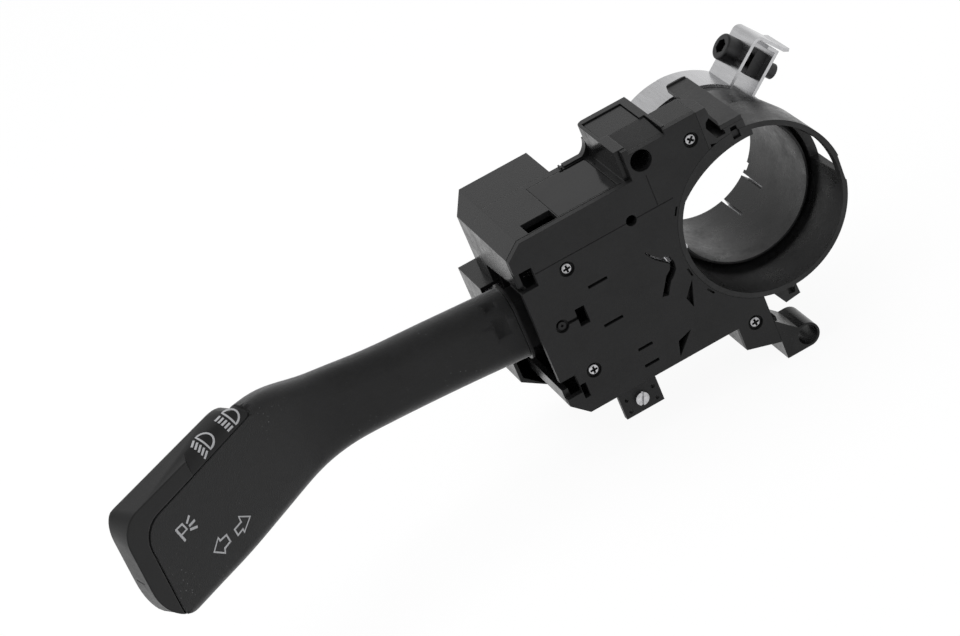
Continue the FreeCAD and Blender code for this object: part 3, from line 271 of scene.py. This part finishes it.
def make_dust():
    """A mask of sparse specks of lint and dust."""
    group, given, made = new_group(
        "dust_specks", [("Vector", "Vector"), ("Spacing", "Float"), ("Size", "Float")],
        [("Mask", "Float")])
    cells = group.nodes.new("ShaderNodeTexVoronoi")
    feed(group, cells.inputs["Vector"], given["Vector"])
    feed(group, cells.inputs["Scale"], given["Spacing"])
    patch = noise(group, given["Vector"], 60.0, 2.0, 0.5)
    size = calc(group, "MULTIPLY", given["Size"], spread(group, patch, 0.40, 0.80, 0.0, 1.0))
    feed(group, made["Mask"], calc(group, "LESS_THAN", cells.outputs["Distance"], size))
    return group


def make_rolled_steel():
    """Plated strip: fine rolling lines along one direction and a cloudy sheen."""
    group, given, made = new_group(
        "rolled_steel",
        [("Vector", "Vector"), ("Dark", "Color"), ("Light", "Color"), ("Rough Low", "Float"),
         ("Rough High", "Float"), ("Depth", "Float")],
        [("Color", "Color"), ("Roughness", "Float"), ("Normal", "Vector")])
    lines = noise(group, given["Vector"], 900.0, 3.0, 0.65)
    cloud = noise(group, given["Vector"], 14.0, 3.0, 0.5)
    total = calc(group, "ADD", calc(group, "MULTIPLY", lines, 0.5),
                 calc(group, "MULTIPLY", cloud, 0.5))
    share = spread(group, total, 0.38, 0.62, 0.0, 1.0)
    feed(group, made["Color"], mix_colours(group, share, given["Dark"], given["Light"]))
    feed(group, made["Roughness"],
         spread(group, total, 0.38, 0.62, given["Rough Low"], given["Rough High"]))
    feed(group, made["Normal"], bumped(group, lines, given["Depth"], ROLLING_DISTANCE))
    return group


SKIN = make_moulded_skin()
DUST = make_dust()
STEEL = make_rolled_steel()


def place_group(tree, group, vector, values):
    node = tree.nodes.new("ShaderNodeGroup")
    node.node_tree = group
    tree.links.new(vector, node.inputs["Vector"])
    for label, value in values.items():
        node.inputs[label].default_value = value
    return node.outputs


def grey(value):
    return (value, value, value * 1.02, 1.0)


def edge_softened(tree, normal, radius):
    """Rounds the look of sharp moulded edges; the grain's normal is kept over the faces."""
    node = tree.nodes.new("ShaderNodeBevel")
    node.samples = BEVEL_SAMPLES
    node.inputs["Radius"].default_value = radius
    tree.links.new(normal, node.inputs["Normal"])
    return node.outputs["Normal"]


def new_material(name):
    material = bpy.data.materials.new(name)
    material.use_nodes = True
    tree = material.node_tree
    place = tree.nodes.new("ShaderNodeTexCoord").outputs["Object"]
    return material, tree, tree.nodes["Principled BSDF"].inputs, place


def plastic(name, dark, light, rough, grain, shine, dust=0.0, edge=0.0003, sheen=0.0):
    """grain is its scale and its depth, and edge the radius that edges seem to have."""
    material, tree, shader, place = new_material(name)
    shader["Specular IOR Level"].default_value = shine
    if sheen:
        shader["Sheen Weight"].default_value = sheen
        shader["Sheen Roughness"].default_value = SHEEN_ROUGHNESS
    skin = place_group(tree, SKIN, place, {
        "Dark": grey(dark), "Light": grey(light), "Rough Low": rough[0], "Rough High": rough[1],
        "Grain Scale": grain[0], "Grain Depth": grain[1]})
    colour, normal = skin["Color"], skin["Normal"]
    if dust:
        specks = place_group(tree, DUST, place, {"Spacing": DUST_SPACING, "Size": dust})
        colour = mix_colours(tree, specks["Mask"], colour, grey(DUST_GREY))
    if edge:
        normal = edge_softened(tree, normal, edge)
    tree.links.new(colour, shader["Base Color"])
    tree.links.new(skin["Roughness"], shader["Roughness"])
    tree.links.new(normal, shader["Normal"])
    return material


def metal(name, dark, light, rough, depth, stretch=(1.0, 1.0, 1.0)):
    """depth is that of the rolling lines, which stretch draws out along one axis."""
    material, tree, shader, place = new_material(name)
    shader["Metallic"].default_value = 1.0
    mapping = tree.nodes.new("ShaderNodeMapping")
    mapping.inputs["Scale"].default_value = stretch
    tree.links.new(place, mapping.inputs["Vector"])
    steel = place_group(tree, STEEL, mapping.outputs["Vector"], {
        "Dark": grey(dark), "Light": grey(light), "Rough Low": rough[0], "Rough High": rough[1],
        "Depth": depth})
    tree.links.new(steel["Color"], shader["Base Color"])
    tree.links.new(steel["Roughness"], shader["Roughness"])
    tree.links.new(edge_softened(tree, steel["Normal"], STEEL_EDGE), shader["Normal"])
    return material


PLASTICS = {                # dark, light, roughness, grain, shine, and what else it has
    "cover_plastic": (0.0085, 0.0125, (0.42, 0.54), (2600.0, 0.55), 0.20, 0.05),
    "housing_plastic": (0.0050, 0.0105, (0.14, 0.36), (1500.0, 0.20), 0.215, 0.05),
    "label_plastic": (0.0060, 0.0090, (0.08, 0.15), (900.0, 0.06), 0.20),
    "collar_plastic": (0.0055, 0.0150, (0.22, 0.46), (1800.0, 0.35), 0.27, 0.04),
    "grip_plastic": (0.0055, 0.0100, (0.42, 0.60), (2600.0, 0.95), 0.16, 0.14, 0.0, 0.34),
    "cap_plastic": (0.0062, 0.0092, (0.34, 0.46), (3400.0, 0.30), 0.205, 0.05, 0.0009),
    "inner_plastic": (0.0045, 0.0070, (0.30, 0.42), (1600.0, 0.25), 0.24),
    "white_plastic": (0.62, 0.72, (0.38, 0.50), (1500.0, 0.15), 0.5),
    # The next finish is painted shade: a flat, dull near black for the sheet that stands for the
    # shadow in the seam's groove
    "seam_shade_black": (0.0010, 0.0016, (0.85, 0.95), (2000.0, 0.2), 0.02, 0.0, 0.0),
    "sign_print": (0.30, 0.36, (0.55, 0.65), (3400.0, 0.3), 0.4, 0.0, 0.0),
}
METALS = {                  # dark, light, roughness, depth of the lines, their stretch
    "band_steel": (0.44, 0.58, (0.20, 0.34), 0.20, (1.0, 0.10, 1.0)),
    "zinc_screws": (0.30, 0.62, (0.20, 0.34), 0.4),
    "dark_steel": (0.035, 0.060, (0.34, 0.48), 0.4),
    "pin_steel": (0.42, 0.58, (0.22, 0.34), 0.2, (1.0, 0.2, 1.0)),
    "spring_steel": (0.50, 0.66, (0.22, 0.34), 0.25, (1.0, 1.0, 0.2)),
    "contact_metal": (0.62, 0.80, (0.22, 0.32), 0.2, (1.0, 0.2, 1.0)),
}
FINISH = {name: plastic(name, *values) for name, values in PLASTICS.items()}
FINISH.update({name: metal(name, *values) for name, values in METALS.items()})


def coat(piece, finish):
    piece.data.materials.clear()
    piece.data.materials.append(FINISH[finish])


def dress_nodes():
    for part in frame["record"]["subparts"]:
        coat(frame["nodes"][part["node"]], part["material_slot"])


# The paddle's own frame, in millimetres: s along it from the elbow, t into its thickness, z up
PADDLE_BEND = math.radians(31.0)
ELBOW = (-168.6, 20.0)
PADDLE_HALF = 5.5
PADDLE_LOW = -14.2
ALONG = Vector((-math.cos(PADDLE_BEND), -math.sin(PADDLE_BEND), 0.0))
INTO = Vector((-math.sin(PADDLE_BEND), math.cos(PADDLE_BEND), 0.0))
UP = Vector((0.0, 0.0, 1.0))
S_AXIS, T_AXIS, Z_AXIS = 0, 1, 2
SMOOTH_BELOW = math.radians(35.0)


def only(piece):
    bpy.ops.object.select_all(action="DESELECT")
    piece.select_set(True)
    bpy.context.view_layer.objects.active = piece


def face_outwards():
    """Ends an edit of the active piece with all its faces turned outwards."""
    bpy.ops.mesh.select_all(action="SELECT")
    bpy.ops.mesh.normals_make_consistent(inside=False)
    bpy.ops.object.mode_set(mode="OBJECT")


def lay(piece, origin, sides):
    """Writes a place into the mesh of a piece drawn in millimetres, and leaves its origin at 0."""
    only(piece)
    piece.matrix_world = (Matrix.Translation(row(*origin)) @ sides
                          @ Matrix.Diagonal((MM, MM, MM, 1.0)))
    bpy.ops.object.transform_apply(location=True, rotation=True, scale=True)


def lay_on_paddle(piece):
    """Lays a piece drawn in the paddle's own frame. That frame is a mirrored one."""
    lay(piece, (*ELBOW, 0.0), Matrix((ALONG, INTO, UP)).transposed().to_4x4())
    bpy.ops.object.mode_set(mode="EDIT")
    face_outwards()


def lay_in_place(piece):
    """Lays a piece drawn from the collar's axis and the cover's face."""
    lay(piece, (0.0, 0.0, 0.0), Matrix.Identity(4))


def arc(centre, radius, start, stop, count=8, stretch=1.0):
    """Points round a circle, in degrees; stretch draws it out along the first axis."""
    turns = [math.radians(start + (stop - start) * k / count) for k in range(count + 1)]
    return [(centre[0] + stretch * radius * math.cos(turn), centre[1] + radius * math.sin(turn))
            for turn in turns]


def slab(name, outline, axis, low, high):
    """A block with this outline, drawn point by point and extruded along one axis."""
    def place(point):
        spot = list(point)
        spot.insert(axis, low)
        return Vector(spot)
    bpy.ops.mesh.primitive_plane_add(size=1.0)
    piece = bpy.context.object
    piece.name = name
    bpy.ops.object.mode_set(mode="EDIT")
    bpy.ops.mesh.merge(type="CENTER")
    bpy.ops.transform.translate(value=place(outline[0]))
    for before, after in zip(outline, outline[1:]):
        step = place(after) - place(before)
        bpy.ops.mesh.extrude_vertices_move(TRANSFORM_OT_translate={"value": step})
    bpy.ops.mesh.select_all(action="SELECT")
    bpy.ops.mesh.edge_face_add()
    rise = [0.0, 0.0, 0.0]
    rise[axis] = high - low
    bpy.ops.mesh.extrude_region_move(TRANSFORM_OT_translate={"value": rise})
    face_outwards()
    return piece


def carve(piece, cutter):
    only(piece)
    bpy.ops.object.modifier_add(type="BOOLEAN")
    cut = piece.modifiers[-1]
    cut.operation = "DIFFERENCE"
    cut.solver = "EXACT"
    cut.object = cutter
    bpy.ops.object.modifier_apply(modifier=cut.name)
    bpy.data.objects.remove(cutter)


def finish_piece(piece, body, slot, finish=None):
    """Rides and coats the piece; its finish is the slot's own unless another is named."""
    only(piece)
    bpy.ops.object.shade_smooth_by_angle(angle=SMOOTH_BELOW)
    coat(piece, finish or slot)
    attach(piece, body)


# End cap: flat rim, and a round shoulder under the two lamp signs
CAP_TOP = 31.9
CAP_END = 95.3
CAP_BACK_END = 92.0
CAP_RIM = 88.0              # beyond it the cap's back is shorter than its front
CAP_CORNER_R = 9.0
CAP_START = 28.75
CAP_START_R = 4.2
CAP_START_STRETCH = 2.0
CROWN_LOW = 24.8            # where the round shoulder starts on the front
CROWN_R = 7.9
CROWN_MID = CROWN_R - PADDLE_HALF
CROWN_END = (60.5, 50.5)    # at the front and at the back
LOW_CORNER_R = 20.0
LOW_CORNER_MID = (CAP_END - LOW_CORNER_R, PADDLE_LOW + LOW_CORNER_R)
LOW_CORNER_STOP = -51.2     # where the low corner meets the seam
NICK = ((93.8, -2.2), (96.5, -2.2), (96.5, 2.9), (92.3, 2.9))
NICK_HEIGHTS = (7.5, 8.0)

# Seam between the grip and the cap: its bends, and the groove along it
SEAM_LOW_BEND = ((73.6, -7.0), 14.0)
SEAM_TOP_BEND = ((79.6, 17.1), 8.0)
SEAM_START_BEND = ((31.2, 29.25), 3.2)
SEAM_GAP = 0.5              # beyond the gap that the grip leaves
SEAM_CAP_FROM = -11.0       # degrees at which each line leaves the paddle's low edge
# Where the black sheet of painted shade in the groove starts, and how far it reaches under the cap
# and the grip
SEAM_SHADE_OUTER_FROM = -10.9
SEAM_SHADE_INNER_FROM = -15.0
SEAM_SHADE_UNDER_CAP = 0.1
SEAM_SHADE_UNDER_GRIP = 0.4
SEAM_DEPTH = 0.7


def seam_line(offset, start):
    """Seam round the grip's field, from the paddle's low edge to the cap's start."""
    (low_mid, low_r), (top_mid, top_r), ((s, z), start_r) = (
        SEAM_LOW_BEND, SEAM_TOP_BEND, SEAM_START_BEND)
    return (arc(low_mid, low_r + offset, start, 0, 3) + arc(top_mid, top_r + offset, 0, 90, 6)
            + arc((s, z + offset), start_r, 245, 220, 3))


def cap_outline():
    start_mid = (CAP_START + CAP_START_R * CAP_START_STRETCH, CAP_TOP - CAP_START_R)
    top_mid = (CAP_END - CAP_CORNER_R, CAP_TOP - CAP_CORNER_R)
    return (arc(start_mid, CAP_START_R, 180, 90, stretch=CAP_START_STRETCH)
            + arc(top_mid, CAP_CORNER_R, 90, 0)
            + arc(LOW_CORNER_MID, LOW_CORNER_R, 0, LOW_CORNER_STOP)
            + seam_line(SEAM_GAP, SEAM_CAP_FROM))


def crown_waste():
    """What the round shoulder takes off, up to a slanted end."""
    last = math.degrees(math.acos((PADDLE_HALF - CROWN_MID) / CROWN_R))
    shoulder = arc((CROWN_MID, CROWN_LOW), CROWN_R, 180, last, 20)
    side, top = PADDLE_HALF + 2.0, CAP_TOP + 3.0
    profile = [(-side, CROWN_LOW), *shoulder, (side, shoulder[-1][1] - 2.0), (side, top),
               (-side, top)]
    waste = slab("crown_waste", profile, S_AXIS, 20.0, 70.0)
    front, back = CROWN_END
    clear = 4.0
    lean = clear * (front - back) / (2 * PADDLE_HALF)
    side, far = PADDLE_HALF + clear, 90.0
    carve(waste, slab("beyond", [(front + lean, -side), (far, -side), (far, side),
                                 (back - lean, side)], Z_AXIS, 0.0, 50.0))
    return waste


def shorten_back(cap):
    """Draws the back of the cap's end in, so that its end face slants."""
    bpy.ops.object.mode_set(mode="EDIT")
    bpy.ops.mesh.select_all(action="DESELECT")
    bpy.ops.object.mode_set(mode="OBJECT")
    for corner in cap.data.vertices:
        corner.select = corner.co.x > CAP_RIM and corner.co.y > 0
    bpy.ops.object.mode_set(mode="EDIT")
    share = (CAP_BACK_END - CAP_RIM) / (CAP_END - CAP_RIM)
    bpy.ops.transform.resize(value=(share, 1, 1), center_override=(CAP_RIM, 0, 0))
    bpy.ops.object.mode_set(mode="OBJECT")


def make_end_cap():
    cap = slab("end_cap", cap_outline(), T_AXIS, -PADDLE_HALF, PADDLE_HALF)
    shorten_back(cap)
    carve(cap, crown_waste())
    carve(cap, slab("end_nick", NICK, Z_AXIS, *NICK_HEIGHTS))
    lay_on_paddle(cap)
    finish_piece(cap, "lever", "cap_plastic")
    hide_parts("lever_end_cap")


def make_seam_shade():
    """A black sheet in the groove between the grip and the cap: painted shade for the groove's
    shadow.
    """
    outer = seam_line(SEAM_GAP + SEAM_SHADE_UNDER_CAP, SEAM_SHADE_OUTER_FROM)
    inner = seam_line(-SEAM_SHADE_UNDER_GRIP, SEAM_SHADE_INNER_FROM)
    depth = PADDLE_HALF - SEAM_DEPTH
    shade_sheet = slab("seam_shade_sheet", outer + inner[::-1], T_AXIS, -depth, depth)
    lay_on_paddle(shade_sheet)
    # Its finish is the flat near black of painted shade
    finish_piece(shade_sheet, "lever", "grip_plastic", "seam_shade_black")


def make_grip():
    """A copy of the grip, with the paddle's low corner rounded off like the cap's."""
    only(frame["nodes"]["lever_grip"])
    bpy.ops.object.duplicate()
    grip = bpy.context.object
    grip.name = "grip"
    bpy.ops.object.mode_set(mode="EDIT")
    bpy.ops.mesh.select_all(action="SELECT")
    bpy.ops.mesh.remove_doubles(threshold=0.00001)
    bpy.ops.object.mode_set(mode="OBJECT")
    curve = arc(LOW_CORNER_MID, LOW_CORNER_R, -20, -90, 10)
    below, beyond, deep = -30.0, 110.0, 12.0
    outline = curve + [(LOW_CORNER_MID[0], below), (beyond, below), (beyond, curve[0][1])]
    corner = slab("low_corner", outline, T_AXIS, -deep, deep)
    lay_on_paddle(corner)
    carve(grip, corner)
    finish_piece(grip, "lever", "grip_plastic")
    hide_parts("lever_grip")


# Black crosses as painted shade on the floors of the cross recesses in the cover's screws
SCREW_PLACES = ((-72.2, 17.1), (-77.2, -22.7), (-15.2, 37.5), (-17.4, -38.0))
CROSS_REACH = 1.45
CROSS_HALF = 0.42
CROSS_DEPTHS = (0.55, 1.35)
CROSS_TURN = 18.0           # degrees per millimetre of x + z, so each screw has its own turn


def make_painted_screw_crosses():
    quarter = ((CROSS_REACH, -CROSS_HALF), (CROSS_REACH, CROSS_HALF), (CROSS_HALF, CROSS_HALF))
    for number, (x, z) in enumerate(SCREW_PLACES, 1):
        corners = []
        for k in range(4):
            turn = math.radians(CROSS_TURN * (x + z)) + k * math.pi / 2
            across, down = math.cos(turn), math.sin(turn)
            corners += [(x + u * across + v * down, z - u * down + v * across)
                        for u, v in quarter]
        cross_shade = slab(f"painted_screw_cross_{number}", corners, 1, *CROSS_DEPTHS)
        lay_in_place(cross_shade)
        # The near black finish here is painted shade: it stands for the shadow in each cross
        # recess
        finish_piece(cross_shade, "housing", "zinc_screws", "inner_plastic")


# The spring clip's root, seen as the dark floor of the notch in the collar's rim
ROOT_OUTLINE = ((-0.95, 29.7), (-0.95, 32.2), (1.95, 32.2), (1.95, 29.7))
ROOT_DEPTHS = (1.3, 2.75)


def make_clip_root():
    root = slab("clip_root", ROOT_OUTLINE, 1, *ROOT_DEPTHS)
    lay_in_place(root)
    finish_piece(root, "housing", "collar_plastic")


# Lap of the clamp band over the sleeve's slotted edge, behind the tall block
LAP_START = (0.0, 63.4, 30.04)
LAP_WIDTH = 4.8
LAP_THICKNESS = 1.16
LAP_TURN = math.radians(64.0)
LAP_STEPS = 24


def make_band_lap():
    bpy.ops.mesh.primitive_plane_add(size=1.0, location=LAP_START,
                                     rotation=(0, math.pi / 2, 0))
    lap = bpy.context.object
    lap.name = "band_lap"
    bpy.ops.object.transform_apply(location=True, rotation=True, scale=True)
    bpy.ops.object.mode_set(mode="EDIT")
    bpy.ops.mesh.select_all(action="SELECT")
    bpy.ops.transform.resize(value=(1, LAP_WIDTH, LAP_THICKNESS), center_override=LAP_START)
    bpy.ops.mesh.spin(steps=LAP_STEPS, angle=LAP_TURN, center=(0, 0, 0), axis=(0, 1, 0))
    face_outwards()
    lay_in_place(lap)
    finish_piece(lap, "housing", "band_steel")


# Signs printed on the paddle's front and on the cap's round shoulder
LINE = 0.95
LAMP_LINE = 0.78
PRINT_LIFT = 0.03
PRINT_FLATTENED = 0.06      # share of a printed line's own roundness that is kept
PARKING_STEM = ((76.1, 16.1), (74.7, 10.4))
PARKING_BOWL = ((76.1, 16.1), (72.9, 16.0), (72.1, 13.2), (75.4, 13.1))
PARKING_RAYS = (((71.2, 14.8), (68.9, 16.4)), ((70.8, 13.4), (67.7, 13.5)),
                ((71.1, 12.2), (67.9, 10.9)))
RIGHT_ARROW = ((51.5, 1.8), (47.3, -1.5), (52.2, -4.2), (52.2, -2.9), (55.1, -3.2),
               (55.3, -0.6), (51.6, -0.4))
LEFT_ARROW = ((66.7, -0.9), (62.9, -4.4), (62.2, -3.0), (59.0, -2.7), (59.2, 0.3),
              (62.5, 0.5), (62.7, 1.9))
LAMP_SIGNS = (              # name, middle, height, depth of the lens, length and slant of the bars
    ("high_beam_sign", (35.2, 6.2), 6.1, 3.8, 2.8, 0.0),
    ("low_beam_sign", (48.8, 6.6), 6.4, 4.1, 3.0, math.radians(-24.0)),
)
BAR_START = 1.4
BAR_PITCH = 0.225           # of the lamp's height


def on_front(x, y, lift):
    return (x, -PADDLE_HALF - lift, y)


def on_crown(x, y, lift):
    """The same, with y measured round the shoulder from its lower edge."""
    turn = math.pi - y / CROWN_R
    reach = CROWN_R + lift
    return (x, CROWN_MID + reach * math.cos(turn), CROWN_LOW + reach * math.sin(turn))


def printed_sign(name, lines, surface, width):
    """Lines of even width, made a mesh, then wrapped on the surface."""
    data = bpy.data.curves.new(name, "CURVE")
    data.dimensions = "3D"
    data.bevel_depth = width / 2
    data.bevel_resolution = 2
    data.use_fill_caps = True
    for points, closed in lines:
        spline = data.splines.new("BEZIER")
        spline.bezier_points.add(len(points) - 1)
        for knot, (x, y) in zip(spline.bezier_points, points):
            knot.co = (x, y, 0.0)
            knot.handle_left_type = knot.handle_right_type = "VECTOR"
        spline.use_cyclic_u = closed
        spline.resolution_u = 6
    sign = bpy.data.objects.new(name, data)
    bpy.context.scene.collection.objects.link(sign)
    only(sign)
    bpy.ops.object.convert(target="MESH")
    sign = bpy.context.object
    for corner in sign.data.vertices:
        x, y, z = corner.co
        corner.co = surface(x, y, PRINT_LIFT + PRINT_FLATTENED * z)
    lay_on_paddle(sign)
    bpy.ops.object.shade_smooth()
    coat(sign, "sign_print")
    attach(sign, "lever")


def stepped(start, end, count=6):
    """Points along a straight line, so that it bends with the surface."""
    return [tuple(a + (b - a) * k / count for a, b in zip(start, end)) for k in range(count + 1)]


def lamp_lines(middle, height, depth, bar, slant):
    """A headlamp seen from its side: a half round lens and five light bars beside it."""
    s, w = middle
    turns = [math.radians(15 * k - 90) for k in range(13)]
    lens = [(s - depth * math.cos(turn), w + height / 2 * math.sin(turn)) for turn in turns]
    lines = [(lens + stepped(lens[-1], lens[0])[1:-1], True)]
    for k in range(-2, 3):
        start = (s + BAR_START, w + height * BAR_PITCH * k)
        end = (start[0] + bar * math.cos(slant), start[1] + bar * math.sin(slant))
        lines.append((stepped(start, end), False))
    return lines


def lay_signs():
    letter = [(PARKING_STEM, False), (PARKING_BOWL, True)]
    rays = [(ray, False) for ray in PARKING_RAYS]
    printed_sign("parking_sign", letter + rays, on_front, LINE)
    printed_sign("right_arrow", [(RIGHT_ARROW, True)], on_front, LINE)
    printed_sign("left_arrow", [(LEFT_ARROW, True)], on_front, LINE)
    for name, *measures in LAMP_SIGNS:
        printed_sign(name, lamp_lines(*measures), on_crown, LAMP_LINE)


dress_nodes()
make_seam_shade()
make_grip()
make_end_cap()
make_painted_screw_crosses()
make_clip_root()
make_band_lap()
lay_signs()
place_camera()
light_the_scene()
pale_floor()
